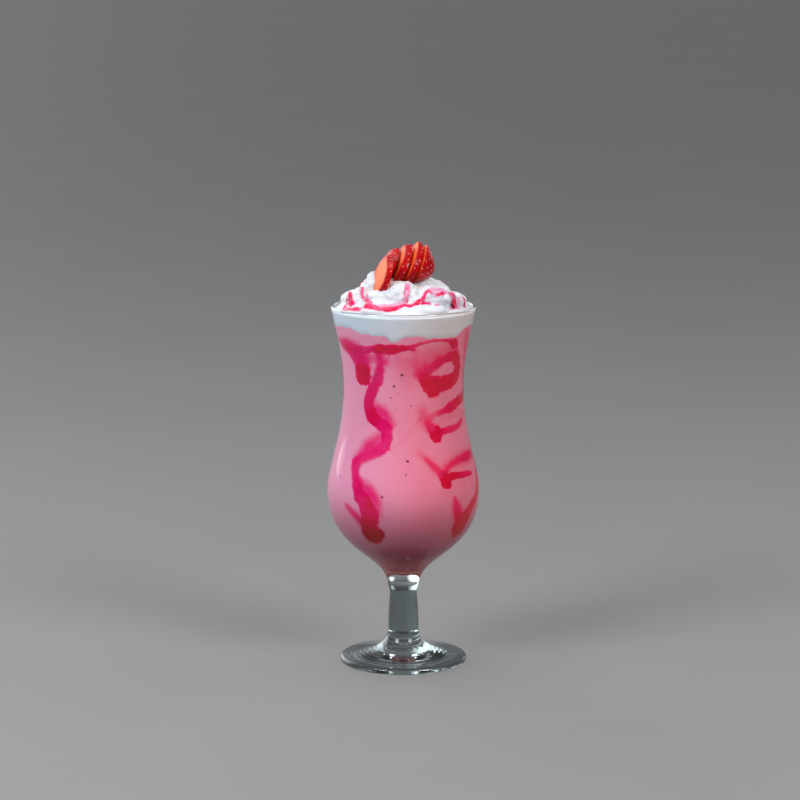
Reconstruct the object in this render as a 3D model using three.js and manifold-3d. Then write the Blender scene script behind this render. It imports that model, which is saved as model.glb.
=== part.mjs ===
// A strawberry milkshake in a footed tulip glass, topped with whipped cream, strawberry sauce
// and a strawberry cut into slices and fanned out.
// Millimetres, +Z up. The origin is under the middle of the foot and the drink's front faces -Y.
// Angles round the glass are in degrees from the front, growing towards +X.

import * as THREE from "three";
import { mergeVertices } from "three/addons/utils/BufferGeometryUtils.js";
import Module from "manifold-3d";

const wasm = await Module();
wasm.setup();

// Common sizes
const SIDES = 32;
const GAP = 0.3;
const DEGREE = Math.PI / 180;
const WELD = 1e-4;

// Glass: outer radii and the heights where they occur
const WALL = 2.1;
const LIP = { radius: 37.5, height: 187.2, bead: 38.1, top: 190, round: 0.5 };
const WAIST = { radius: 31.5, height: 146.8 };
const BULB = { radius: 40, height: 92 };
const NECK = { radius: 8.2, height: 40.5 };
const WELL = { radius: 0, height: 48.5 };
const STEM = { waist: 7.2, waistHeight: 35, swell: 8, swellHeight: 24, flareHeight: 17 };
const FOOT = { radius: 33.4, edge: 3, ringInner: 27, ringOuter: 31.8, hollow: 1.6 };
const CROWN = { radius: 16, height: 7 };

// Handles of the curves that make the bowl's outside and inside, and how far they reach along the wall
const OUTSIDE = { bottom: NECK, handle: { radius: 8.5, height: 58 }, bulbHandle: 59, inset: 0 };
const INSIDE = { bottom: WELL, handle: { radius: 7, height: WELL.height }, bulbHandle: 68, inset: WALL };
const REACH = { aboveBulb: 13.5, belowWaist: 27.3, aboveWaist: 18, belowLip: 12, lipFlare: 2.3 };
const CURVE_STEPS = [7, 4, 3];

// Milkshake: the line where it meets the cream on the wall
const FILL = { back: 182, frontDrop: 4.8, dipAngle: -9, dipWidth: 7, dip: 2.2, middleRise: 1.5 };
const RIPPLES = [{ height: 0.6, waves: 4, phase: 0.6 }, { height: 0.35, waves: 9, phase: 0 }];
const BORDER_SHARES = [0, 0.6, 1];

// Whipped cream: the mound under the dollops
const MOUND = { base: 188.6, radius: 35, rise: 15.5, rimDepth: 2 };
const MOUND_SHARES = [1, 0.85, 0.6, 0.3, 0];

// Dollops of cream: place of the middle, then half sizes
const DOLLOPS = [
  { at: [-2, -17, 196.5], size: [12, 10, 8.5] },
  { at: [-22, -6, 192.5], size: [8.5, 9, 7.5] },
  { at: [-13.5, 3, 200.5], size: [7, 8, 7.5] },
  { at: [15, -14, 195.5], size: [12, 11, 7] },
  { at: [24, -3, 192.5], size: [9, 11, 5] },
  { at: [-26, 5, 192], size: [7, 10, 5] },
  { at: [-10, 15, 196], size: [14, 12, 7.5] },
  { at: [11, 14, 195], size: [14, 12, 7] },
  { at: [-11, -25, 189.8], size: [11, 7, 3.6] },
  { at: [11, -25, 190], size: [11, 7, 4] },
];

// Sauce lying on the cream: thread radius, then points seen from above
const DRIZZLE_STEP = 7;
const DRIZZLES = [
  { radius: 1.2, path: [[-30, -13], [-22, -22], [-17, -26.5], [-11, -29], [-2, -28.5], [13, -24.5]] },
  { radius: 1, path: [[-29, -4], [-28, -8], [-25.7, -14.5]] },
  { radius: 0.8, path: [[-20.5, -2], [-21.3, -12.6], [-16.5, -26]] },
  { radius: 1.5, path: [[2.3, -20.5], [2, -23], [0.8, -27]] },
  { radius: 1, path: [[9.6, -25.5], [12.8, -22], [17, -23.4], [20.7, -21]] },
  { radius: 1.4, path: [[24.4, -18.5], [25.6, -17], [26.8, -13.5]] },
  { radius: 1.2, path: [[-25, 12], [-18, 20], [-7, 26], [8, 26], [21, 18]] },
];

// Sauce runs on the inside of the wall: stations of angle, height and half width.
// The runs of one node touch, so they are one piece of sauce.
const RUN = { clearance: 0.4, depth: 1.3, thinner: 0.12, edge: 0.45, step: 5.5, endTaper: 0.45, cutOut: 1 };
const SAUCE_RUNS = {
  sauce_left: [
    [[-23, 169, 1.8], [-22, 164, 1.8], [-26, 155, 3.1], [-35.5, 145, 3.2], [-36, 141, 3.2], [-27, 133.5, 3.2],
      [-15.5, 127, 3.1], [-17, 122, 3.2], [-31, 115, 2.8], [-43.5, 108.5, 3.4], [-41.5, 103.5, 3.2],
      [-31.5, 92, 4.4], [-28, 80, 5.4], [-27, 75.5, 6.2], [-26.5, 70.5, 4.4]],
    [[-80, 173, 1.4], [-63, 169.5, 2.3], [-55, 166, 2.6], [-47, 162.5, 3]],
    [[-43.5, 163.5, 3.8], [-43.5, 160, 4.8], [-43, 155.6, 4.9], [-43, 151.4, 3.6]],
    [[-56, 167.5, 2], [-31, 171, 2.2], [-12, 171.2, 2.8], [3, 172.2, 1.4], [9, 171.2, 0.9]],
    [[-49, 88.5, 1.5], [-43, 85.5, 2], [-33, 80.5, 2.2]],
  ],
  sauce_loop: [
    [[25, 159.5, 2.4], [31, 162.3, 2.4], [52, 166, 3], [60, 163.5, 3.4], [63, 159, 3.5]],
    [[63, 159, 3.5], [60, 154.8, 3.6], [40, 152, 4.6], [29.5, 152.3, 5.2], [18.5, 156.2, 2]],
    [[29.5, 151.5, 5], [31, 149.2, 4.2], [31.5, 145.4, 2.6]],
    [[12, 174.2, 0.8], [31, 175.5, 0.8], [44, 174.5, 1], [52.5, 172.6, 2.6], [61, 167, 1.4]],
  ],
  sauce_hook: [
    [[86, 172, 2], [87, 160, 2.4], [86, 149, 2.4], [80, 143.5, 2.8], [66, 141, 2.9], [50, 138.7, 2.5],
      [30, 136, 1.6]],
    [[30, 136, 1.6], [25, 132.5, 2.2], [28.5, 129, 2.8], [32, 125.4, 3.7], [32.5, 121.8, 2.6]],
    [[72, 130.5, 1.4], [50, 127.8, 1.8], [32, 127, 2]],
  ],
  sauce_drop: [
    [[20, 114, 1.2], [27, 109.5, 1.7], [35.5, 103.6, 3.3], [36, 98.4, 2.5]],
    [[80, 112.3, 2], [66, 112.2, 2.1], [44, 110, 1.6], [32, 106, 1.6]],
    [[68, 103.2, 1.3], [46, 104.2, 1.9], [35, 103.6, 2.4]],
  ],
  sauce_right: [
    [[94, 126, 1.6], [93, 114, 2], [84, 103, 2.3], [80, 97, 2.5], [66, 86.5, 3.4], [55, 77, 5.8],
      [54.5, 71, 4.2]],
    [[43, 93, 1.2], [45.5, 88, 2.2], [52, 81, 3.4]],
  ],
  sauce_left_edge: [[[-84, 161, 1.4], [-88, 151, 2.2], [-86, 142, 1.8]]],
  sauce_back_left: [
    [[-122, 172, 2.4], [-125, 160, 3], [-115, 148, 3], [-122, 134, 2.8], [-136, 122, 3], [-130, 106, 3.2],
      [-122, 94, 3.6], [-125, 76, 3.4]],
    [[-175, 168, 1.4], [-158, 170.5, 2.2], [-122, 170, 2.4]],
  ],
  sauce_back_middle: [
    [[150, 171, 2.2], [166, 163, 2.8], [172, 152, 2.8], [160, 142, 3], [146, 133, 2.8], [151, 121, 3],
      [163, 111, 3], [160, 100, 3.4], [151, 80, 3.4]],
  ],
  sauce_back_right: [[[112, 168, 2], [118, 158, 2.8], [108, 146, 2.8], [116, 134, 2.6], [126, 124, 2]]],
};

// Strawberry: tip up, its slices cut upright and numbered from the left.
// Each slice gives its cut from the berry's middle, its near left edge's place, its turn and its lean.
const BERRY = { radius: 14, length: 25, tipPower: 1.2, fullness: 0.52, midHeight: 11 };
const BERRY_MESH = { sides: 20, rows: 9, slab: 80 };
const SLICES = [
  { from: -7, to: -4.4, at: [-9.3, -24, 206.3], turn: 13.5, lean: 18 },
  { from: -8.4, to: -5.4, at: [-7.9, -9, 209.5], turn: 10, lean: 24 },
  { from: -4.6, to: -1.4, at: [-1.6, -14.8, 210], turn: 10, lean: 24 },
  { from: -0.2, to: 3, at: [4.6, -16.4, 210.4], turn: 10, lean: 24 },
  { from: 5, to: 14, at: [9.5, -16.4, 210.6], turn: 10, lean: 24 },
];

// Finishes
const FINISH = {
  glass: { color: 0xe8efee, roughness: 0.05, metalness: 0, transparent: true, opacity: 0.4 },
  shake: { color: 0xd9809f, roughness: 0.45, metalness: 0 },
  cream: { color: 0xf4f1f0, roughness: 0.5, metalness: 0 },
  sauce: { color: 0xb8022f, roughness: 0.2, metalness: 0 },
  strawberry: { color: 0xbf1410, roughness: 0.3, metalness: 0 },
};

// Boolean solids from three.js geometry, and back
function solidOf(geometry) {
  const bare = geometry.clone();
  bare.deleteAttribute("normal");
  bare.deleteAttribute("uv");
  const merged = mergeVertices(bare, WELD);
  const vertProperties = new Float32Array(merged.getAttribute("position").array);
  const triVerts = new Uint32Array(merged.index.array);
  return new wasm.Manifold(new wasm.Mesh({ numProp: 3, vertProperties, triVerts }));
}

function geometryOf(solid) {
  const mesh = solid.getMesh();
  const geometry = new THREE.BufferGeometry();
  geometry.setAttribute("position", new THREE.BufferAttribute(mesh.vertProperties, 3));
  geometry.setIndex(new THREE.BufferAttribute(mesh.triVerts, 1));
  return geometry;
}

function unite(solids) {
  return solids.reduce((whole, next) => whole.add(next));
}

// Moves every vertex of a geometry by a function of its old place
function reshape(geometry, place) {
  const position = geometry.getAttribute("position");
  const point = new THREE.Vector3();
  for (let i = 0; i < position.count; i += 1) {
    point.fromBufferAttribute(position, i);
    const moved = place(point);
    position.setXYZ(i, moved.x, moved.y, moved.z);
  }
  return geometry;
}

// A turned solid standing along Z, from a profile of radius and height that runs up its outside
function turned(profile, sides = SIDES) {
  return new THREE.LatheGeometry(profile, sides).rotateX(Math.PI / 2);
}

function onCircle(angle, radius, height) {
  return new THREE.Vector3(radius * Math.sin(angle), -radius * Math.cos(angle), height);
}

// Glass: bulb, waist and lip as three curves, for the outside and the inside of the wall
function bowlProfile({ bottom, handle, bulbHandle, inset }) {
  const bulb = BULB.radius - inset;
  const waist = WAIST.radius - inset;
  const lip = LIP.radius - inset;
  const path = new THREE.Path();
  path.moveTo(bottom.radius, bottom.height);
  path.bezierCurveTo(handle.radius, handle.height, bulb, bulbHandle, bulb, BULB.height);
  const belowWaist = WAIST.height - REACH.belowWaist;
  path.bezierCurveTo(bulb, BULB.height + REACH.aboveBulb, waist, belowWaist, waist, WAIST.height);
  const aboveWaist = WAIST.height + REACH.aboveWaist;
  path.bezierCurveTo(waist, aboveWaist, lip - REACH.lipFlare, LIP.height - REACH.belowLip, lip, LIP.height);
  const points = path.curves.flatMap((curve, i) => curve.getPoints(CURVE_STEPS[i]).slice(1));
  return [new THREE.Vector2(bottom.radius, bottom.height), ...points];
}

const outsideProfile = bowlProfile(OUTSIDE);
const insideProfile = bowlProfile(INSIDE);

function insideRadius(height) {
  const upper = insideProfile.findIndex((point) => point.y >= height);
  const above = insideProfile[Math.max(upper, 1)];
  const below = insideProfile[Math.max(upper, 1) - 1];
  return THREE.MathUtils.mapLinear(height, below.y, above.y, below.x, above.x);
}

// Foot and stem: hollow underside, flat ring, rounded edge and sloping top, then fillet, swell and waist
function footProfile() {
  const path = new THREE.Path();
  path.moveTo(0, FOOT.hollow);
  path.quadraticCurveTo(FOOT.ringInner * 0.8, FOOT.hollow, FOOT.ringInner, 0);
  path.lineTo(FOOT.ringOuter, 0);
  path.quadraticCurveTo(FOOT.radius, 0, FOOT.radius, FOOT.edge / 2);
  path.quadraticCurveTo(FOOT.radius, FOOT.edge, FOOT.ringOuter, FOOT.edge * 1.1);
  path.lineTo(CROWN.radius, CROWN.height);
  path.quadraticCurveTo(STEM.swell * 1.12, CROWN.height * 1.3, STEM.swell, STEM.flareHeight);
  path.quadraticCurveTo(STEM.swell * 1.04, STEM.swellHeight, STEM.waist, STEM.waistHeight);
  path.quadraticCurveTo(STEM.waist, NECK.height * 0.95, NECK.radius, NECK.height);
  return path.curves.flatMap((curve) => {
    const steps = curve.isLineCurve ? 1 : 2;
    return curve.getPoints(steps).slice(0, -1);
  });
}

function glassGeometry() {
  const lip = [
    new THREE.Vector2(LIP.bead, (LIP.height + LIP.top) / 2),
    new THREE.Vector2(LIP.radius - LIP.round, LIP.top),
    new THREE.Vector2(LIP.radius - WALL + LIP.round, LIP.top - LIP.round),
  ];
  return turned([...footProfile(), ...outsideProfile, ...lip, ...insideProfile.toReversed()]);
}

// Where milkshake and cream meet on the wall, by the angle round the glass in radians
function borderHeight(angle) {
  const front = ((1 + Math.cos(angle)) / 2) ** 2;
  const fromDip = (Math.atan2(Math.sin(angle), Math.cos(angle)) / DEGREE - FILL.dipAngle) / FILL.dipWidth;
  const smooth = FILL.back - FILL.frontDrop * front - FILL.dip * Math.exp(-fromDip * fromDip);
  const ripples = RIPPLES.map(({ height, waves, phase }) => height * Math.sin(waves * angle + phase));
  return ripples.reduce((sum, ripple) => sum + ripple, smooth);
}

// The surface between the two, at a share of the way from the middle to the wall
function borderPoint(angle, share, lift) {
  const height = borderHeight(angle);
  const middle = FILL.back + FILL.middleRise;
  const radius = (insideRadius(height) - GAP) * share;
  return onCircle(angle, radius, THREE.MathUtils.lerp(middle, height, share * share) + lift);
}

// A filling of the glass: the turned profile numbers its rings, and each vertex is placed by ring and angle
function filling(ringCount, place) {
  const rings = Array.from({ length: ringCount }, (_, ring) => {
    const onAxis = ring === 0 || ring === ringCount - 1;
    return new THREE.Vector2(onAxis ? 0 : 1, ring);
  });
  return reshape(turned(rings), (point) => {
    const angle = Math.atan2(point.x, -point.y);
    return place(angle, Math.round(point.z));
  });
}

// The inside of the wall, moved into the drink by the gap between pieces
function insetWall() {
  return insideProfile.map((point, i) => {
    const below = insideProfile[Math.max(i - 1, 0)];
    const above = insideProfile[Math.min(i + 1, insideProfile.length - 1)];
    const along = above.clone().sub(below).normalize();
    const radius = i === 0 ? 0 : point.x - GAP * along.y;
    return new THREE.Vector2(radius, point.y + GAP * along.x);
  });
}

function shakeGeometry() {
  const lowestBorder = FILL.back - FILL.frontDrop - 2 * FILL.dip;
  const wall = insetWall().filter((point) => point.y < lowestBorder);
  const top = BORDER_SHARES.toReversed();
  return filling(wall.length + top.length, (angle, ring) => {
    if (ring < wall.length) {
      return onCircle(angle, wall[ring].x, wall[ring].y);
    }
    return borderPoint(angle, top[ring - wall.length], 0);
  });
}

// Cream: a mound that fills the glass above the milkshake, with dollops and threads of sauce on it
function moundHeight(share) {
  return MOUND.base + MOUND.rise * (1 - share * share);
}

function moundGeometry() {
  const wallHeight = MOUND.base - MOUND.rimDepth;
  const wallRing = BORDER_SHARES.length;
  return filling(wallRing + 1 + MOUND_SHARES.length, (angle, ring) => {
    if (ring < wallRing) {
      return borderPoint(angle, BORDER_SHARES[ring], 2 * GAP);
    }
    if (ring === wallRing) {
      return onCircle(angle, insideRadius(wallHeight) - GAP, wallHeight);
    }
    const share = MOUND_SHARES[ring - wallRing - 1];
    return onCircle(angle, MOUND.radius * share, moundHeight(share));
  });
}

function dollopSolid({ at, size }) {
  return solidOf(new THREE.SphereGeometry(1, 12, 6).scale(...size).translate(...at));
}

function creamTop(x, y) {
  const onMound = moundHeight(Math.min(1, Math.hypot(x, y) / MOUND.radius));
  const onDollops = DOLLOPS.map(({ at, size }) => {
    const left = 1 - ((x - at[0]) / size[0]) ** 2 - ((y - at[1]) / size[1]) ** 2;
    return left > 0 ? at[2] + size[2] * Math.sqrt(left) : 0;
  });
  return Math.max(onMound, ...onDollops);
}

function drizzleSolid({ radius, path }) {
  const onCream = path.map(([x, y]) => new THREE.Vector3(x, y, creamTop(x, y)));
  const section = new THREE.Shape().absarc(0, 0, radius, 0, 2 * Math.PI);
  const curve = new THREE.CatmullRomCurve3(onCream);
  const steps = Math.ceil(curve.getLength() / DRIZZLE_STEP);
  return solidOf(new THREE.ExtrudeGeometry(section, { extrudePath: curve, steps, curveSegments: 3 }));
}

// Sauce on the wall: a box bent along a curve on the inside of the glass.
// Across it runs x, into the drink y and along the curve z. A cutter is the same box, grown all round.
function runSolid(stations, order, grow) {
  const meanRadius = WAIST.radius;
  const points = stations.map(([angle, height, half]) =>
    new THREE.Vector3(angle * DEGREE * meanRadius, height, half));
  const curve = new THREE.CatmullRomCurve3(points, false, "catmullrom");
  const steps = Math.max(3, Math.round(curve.getLength() / RUN.step));
  const box = new THREE.BoxGeometry(2, 1, 1, grow > 0 ? 1 : 2, 1, steps);
  const bent = reshape(box, (point) => {
    const along = THREE.MathUtils.clamp(point.z + 0.5, 0, 1);
    const centre = curve.getPointAt(along);
    const tangent = curve.getTangentAt(along).setZ(0).normalize();
    const atEnd = Math.min(along, 1 - along) < WELD;
    const half = centre.z * (atEnd ? RUN.endTaper : 1) + grow;
    const endShift = atEnd ? grow * Math.sign(along - 0.5) : 0;
    const height = centre.y - tangent.x * point.x * half + tangent.y * endShift;
    const wall = insideRadius(height);
    const acrossAngle = (tangent.y * point.x * half + tangent.x * endShift) / wall;
    const thickness = RUN.depth - RUN.thinner * order - (grow > 0 ? 0 : RUN.edge * point.x * point.x);
    const inner = wall - RUN.clearance - thickness - grow;
    const outer = grow > 0 ? wall + RUN.cutOut : wall - RUN.clearance - (RUN.thinner * order) / 2;
    return onCircle(centre.x / meanRadius + acrossAngle, point.y > 0 ? inner : outer, height);
  });
  return solidOf(bent);
}

function sauceSolid(runs, grow) {
  return unite(runs.map((stations, order) => runSolid(stations, order, grow)));
}

// Strawberry: a turned berry cut by a slab, with the slice's near left edge at half height at the origin
function berryProfile(grow) {
  const { rows } = BERRY_MESH;
  return Array.from({ length: rows + 1 }, (_, row) => {
    const fromTip = (1 + Math.cos((Math.PI * row) / rows)) / 2;
    const swell = Math.sin(Math.PI * fromTip ** BERRY.tipPower);
    const onAxis = row === 0 || row === rows;
    const radius = onAxis ? 0 : BERRY.radius * swell ** BERRY.fullness + grow;
    const height = (BERRY.length + 2 * grow) * (1 - fromTip) - grow;
    return new THREE.Vector2(radius, height);
  });
}

function sliceGeometry({ from, to }, grow) {
  const berry = turned(berryProfile(grow), BERRY_MESH.sides);
  const width = to - from + 2 * grow;
  const slab = new THREE.BoxGeometry(width, BERRY_MESH.slab, BERRY_MESH.slab);
  slab.translate((from + to) / 2, 0, 0);
  const nearEdge = Math.sqrt(BERRY.radius ** 2 - from ** 2);
  return geometryOf(solidOf(berry).intersect(solidOf(slab))).translate(-from, nearEdge, -BERRY.midHeight);
}

function placeSlice(object, { at, turn, lean }) {
  object.position.set(...at);
  object.rotation.set(0, lean * DEGREE, turn * DEGREE, "ZYX");
  object.updateMatrix();
  return object;
}

function sliceCutter(slice) {
  const matrix = placeSlice(new THREE.Object3D(), slice).matrix;
  return solidOf(sliceGeometry(slice, GAP).applyMatrix4(matrix));
}

// The whole drink
function meshOf(name, geometry, finish) {
  const mesh = new THREE.Mesh(geometry, new THREE.MeshStandardMaterial(finish));
  mesh.name = name;
  return mesh;
}

const drink = new THREE.Group();
drink.add(meshOf("glass", glassGeometry(), FINISH.glass));

const saucePockets = unite(Object.values(SAUCE_RUNS).map((runs) => sauceSolid(runs, GAP)));
const shake = solidOf(shakeGeometry()).subtract(saucePockets);
drink.add(meshOf("shake", geometryOf(shake), FINISH.shake));

for (const [name, runs] of Object.entries(SAUCE_RUNS)) {
  drink.add(meshOf(name, geometryOf(sauceSolid(runs, 0)), FINISH.sauce));
}

const toppings = [...DOLLOPS.map(dollopSolid), ...DRIZZLES.map(drizzleSolid)];
const cream = unite([solidOf(moundGeometry()), ...toppings]).subtract(unite(SLICES.map(sliceCutter)));
drink.add(meshOf("cream", geometryOf(cream), FINISH.cream));

const strawberry = new THREE.Group();
SLICES.forEach((slice, i) => {
  const mesh = meshOf(`strawberry_slice_${i + 1}`, sliceGeometry(slice, 0), FINISH.strawberry);
  strawberry.add(placeSlice(mesh, slice));
});
drink.add(strawberry);

export default drink;
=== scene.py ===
import math
import random

import bpy
import numpy as np
from mathutils import Matrix, Vector, noise
from mathutils.bvhtree import BVHTree


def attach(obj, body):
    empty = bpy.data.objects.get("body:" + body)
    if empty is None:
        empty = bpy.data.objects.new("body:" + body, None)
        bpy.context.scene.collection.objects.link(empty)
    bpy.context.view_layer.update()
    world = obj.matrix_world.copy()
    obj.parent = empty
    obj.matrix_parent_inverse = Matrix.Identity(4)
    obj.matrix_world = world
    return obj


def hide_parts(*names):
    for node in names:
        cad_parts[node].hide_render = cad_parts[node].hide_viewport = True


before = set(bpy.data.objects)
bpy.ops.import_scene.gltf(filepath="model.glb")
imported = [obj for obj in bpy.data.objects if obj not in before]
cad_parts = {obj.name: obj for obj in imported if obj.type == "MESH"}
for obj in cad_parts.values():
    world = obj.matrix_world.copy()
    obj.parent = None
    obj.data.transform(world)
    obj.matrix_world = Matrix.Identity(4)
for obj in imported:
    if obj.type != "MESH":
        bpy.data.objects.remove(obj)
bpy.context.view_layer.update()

mm = 0.001
print("frame loaded with", len(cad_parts), "solids")


# small tools

def deselectAll():
    if bpy.context.mode != "OBJECT":
        bpy.ops.object.mode_set(mode="OBJECT")
    bpy.ops.object.select_all(action="DESELECT")


def pick(piece):
    deselectAll()
    piece.select_set(True)
    bpy.context.view_layer.objects.active = piece


def editAll(piece):
    pick(piece)
    bpy.ops.object.mode_set(mode="EDIT")
    bpy.ops.mesh.select_all(action="SELECT")


def closeUp(piece, gap=0.002):
    # merges the seam and the poles, then turns every face outwards
    editAll(piece)
    bpy.ops.mesh.remove_doubles(threshold=gap * mm)
    bpy.ops.mesh.normals_make_consistent(inside=False)
    bpy.ops.object.mode_set(mode="OBJECT")
    bpy.ops.object.shade_smooth()


def applyModifier(piece, kind, **settings):
    pick(piece)
    modifier = piece.modifiers.new(kind.lower(), kind)
    for key, value in settings.items():
        setattr(modifier, key, value)
    bpy.ops.object.modifier_apply(modifier=modifier.name)


def joinPieces(name, pieces):
    deselectAll()
    for piece in pieces:
        piece.select_set(True)
    bpy.context.view_layer.objects.active = pieces[0]
    if len(pieces) > 1:
        bpy.ops.object.join()
    joined = bpy.context.object
    joined.name = joined.data.name = name
    return joined


def cornersOf(piece):
    places = np.empty(len(piece.data.vertices) * 3, dtype=np.float32)
    piece.data.vertices.foreach_get("co", places)
    return places.reshape(-1, 3).astype(float) / mm


def moveCorners(piece, places):
    piece.data.vertices.foreach_set("co", (places * mm).astype(np.float32).ravel())
    piece.data.update()


def storeValues(piece, name, values):
    layer = piece.data.attributes.new(name, "FLOAT", "POINT")
    layer.data.foreach_set("value", np.asarray(values, dtype=np.float32))


def smoothStep(low, high, value):
    part = np.clip((value - low) / (high - low), 0, 1)
    return part * part * (3 - 2 * part)


def noiseAt(places, scale, shift=0):
    # soft noise of about -1 to 1 at places in mm
    offset = Vector((shift, shift * 1.7, -shift))
    return np.array([noise.noise(Vector(place) * scale + offset) for place in places])


def curveThrough(points, count):
    # a Bezier curve of any degree, without its first point
    steps = np.linspace(0, 1, count + 1)[1:]
    degree = len(points) - 1
    weights = [math.comb(degree, k) * steps**k * (1 - steps)**(degree - k) for k in range(degree + 1)]
    return [tuple(point) for point in np.transpose(weights) @ np.array(points, float)]


def smoothPath(stations, gap):
    # Catmull-Rom through the stations, about one point every gap
    knots = np.array(stations, float)
    knots = np.vstack([2 * knots[0] - knots[1], knots, 2 * knots[-1] - knots[-2]])
    points = []
    for before, start, end, after in zip(knots, knots[1:], knots[2:], knots[3:]):
        count = max(2, round(float(np.linalg.norm((end - start)[:2])) / gap))
        for t in np.arange(count) / count:
            bend = (2 * before - 5 * start + 4 * end - after) * t
            bend = bend + (3 * start - before - 3 * end + after) * t * t
            points.append(start + 0.5 * t * (end - before + bend))
    points.append(knots[-2])
    return np.array(points)


def spinUp(name, outline, steps):
    # a plane drawn together to one corner, extruded along the outline and spun round the upright axis
    deselectAll()
    bpy.ops.mesh.primitive_plane_add(size=mm)
    piece = bpy.context.object
    piece.name = piece.data.name = name
    bpy.ops.object.mode_set(mode="EDIT")
    bpy.ops.mesh.select_all(action="SELECT")
    bpy.ops.mesh.merge(type="CENTER")
    corners = [Vector((radius, 0, height)) * mm for radius, height in outline]
    bpy.ops.transform.translate(value=corners[0])
    for last, corner in zip(corners, corners[1:]):
        bpy.ops.mesh.extrude_vertices_move(TRANSFORM_OT_translate={"value": corner - last})
    bpy.ops.mesh.select_all(action="SELECT")
    bpy.ops.mesh.spin(steps=steps, angle=2 * math.pi, center=(0, 0, 0), axis=(0, 0, 1))
    closeUp(piece)
    return piece


def tubePiece(name, rings):
    # a grid laid on rings of points: rows go along, columns go round and meet
    rows, around = rings.shape[:2]
    deselectAll()
    bpy.ops.mesh.primitive_grid_add(x_subdivisions=around, y_subdivisions=rows - 1, size=mm)
    piece = bpy.context.object
    piece.name = piece.data.name = name
    moveCorners(piece, np.concatenate([rings, rings[:, :1]], axis=1).reshape(-1, 3))
    closeUp(piece)
    return piece


def finishPiece(piece, finish, slot, *nodes):
    if finish is not None:
        piece.data.materials.clear()
        piece.data.materials.append(finish)
    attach(piece, "root")
    if nodes:
        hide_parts(*nodes)


# shader tools

def paint(red, green, blue):
    # a screen colour as the shaders take it
    parts = [part / 255 for part in (red, green, blue)]
    return [part / 12.92 if part <= 0.04045 else ((part + 0.055) / 1.055)**2.4 for part in parts] + [1]


def newFinish(name, **sockets):
    finish = bpy.data.materials.new(name)
    finish.use_nodes = True
    shader = finish.node_tree.nodes["Principled BSDF"]
    for key, value in sockets.items():
        shader.inputs[key].default_value = value
    return finish, finish.node_tree, shader


def addNode(tree, kind, values, output=0, **options):
    node = tree.nodes.new("ShaderNode" + kind)
    for key, value in options.items():
        setattr(node, key, value)
    for socket, value in values.items():
        if isinstance(value, bpy.types.NodeSocket):
            tree.links.new(value, node.inputs[socket])
        else:
            node.inputs[socket].default_value = value
    return node.outputs[output]


def mathNode(tree, operation, first, second=0.0):
    return addNode(tree, "Math", {0: first, 1: second}, operation=operation)


def mixPaint(tree, factor, first, second, blend="MIX"):
    values = {0: factor, 6: first, 7: second}
    return addNode(tree, "Mix", values, 2, data_type="RGBA", blend_type=blend, clamp_factor=True)


def rampPaint(tree, factor, stops):
    socket = addNode(tree, "ValToRGB", {"Fac": factor})
    ramp = socket.node.color_ramp
    while len(ramp.elements) < len(stops):
        ramp.elements.new(0.5)
    for element, (place, colour) in zip(ramp.elements, stops):
        element.position = place
        element.color = colour
    return socket


def rangeNode(tree, value, low, high, first=0.0, last=1.0):
    values = {"Value": value, "From Min": low, "From Max": high, "To Min": first, "To Max": last}
    return addNode(tree, "MapRange", values, interpolation_type="SMOOTHSTEP")


def objectPlace(tree):
    return addNode(tree, "TexCoord", {}, "Object")


def noiseNode(tree, place, scale, detail=2.0, rough=0.5):
    values = {"Vector": place, "Scale": scale, "Detail": detail, "Roughness": rough}
    return addNode(tree, "TexNoise", values, "Fac")


def bumpNode(tree, shader, height, strength, distance):
    values = {"Height": height, "Strength": strength, "Distance": distance * mm}
    tree.links.new(addNode(tree, "Bump", values), shader.inputs["Normal"])


# glass: one outline from under the foot, up the outside, over the lip and down the inside

glassSizes = {
    "steps": 180,
    "wall": 2.1,
    "bulb": (40, 92), "waist": (31.5, 146.8), "lip": (37.5, 187.2),
    "neck": (8.2, 40.5), "neckHandle": (8.5, 58), "bulbHandle": 59,
    "well": (0, 48.5), "wellHandle": (7, 48.5), "wellBulbHandle": 68,
    "aboveBulb": 13.5, "belowWaist": 27.3, "aboveWaist": 18, "belowLip": 12, "lipFlare": 2.3,
    "lipRound": [(38.3, 188.6), (37.9, 190.2), (36.1, 190.2), (35.7, 188.8)],
}


def bowlLine(bottom, handle, bulbHandle, inset, rows):
    bulb, waist, lip = [(glassSizes[key][0] - inset, glassSizes[key][1]) for key in ("bulb", "waist", "lip")]
    line = [bottom] + curveThrough([bottom, handle, (bulb[0], bulbHandle), bulb], rows)
    aboveBulb = (bulb[0], bulb[1] + glassSizes["aboveBulb"])
    belowWaist = (waist[0], waist[1] - glassSizes["belowWaist"])
    line += curveThrough([bulb, aboveBulb, belowWaist, waist], rows)
    aboveWaist = (waist[0], waist[1] + glassSizes["aboveWaist"])
    belowLip = (lip[0] - glassSizes["lipFlare"], lip[1] - glassSizes["belowLip"])
    return line + curveThrough([waist, aboveWaist, belowLip, lip], rows)


def outsideLine(rows):
    return bowlLine(glassSizes["neck"], glassSizes["neckHandle"], glassSizes["bulbHandle"], 0, rows)


def insideLine(rows, into=0.0):
    # the inside of the wall, or a line that lies so far into the wall
    well, handle = [(key[0], key[1] - into) for key in (glassSizes["well"], glassSizes["wellHandle"])]
    return bowlLine(well, handle, glassSizes["wellBulbHandle"], glassSizes["wall"] - into, rows)


wallTable = np.array(insideLine(80))


def wallRadius(height):
    return np.interp(height, wallTable[:, 1], wallTable[:, 0])


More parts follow.
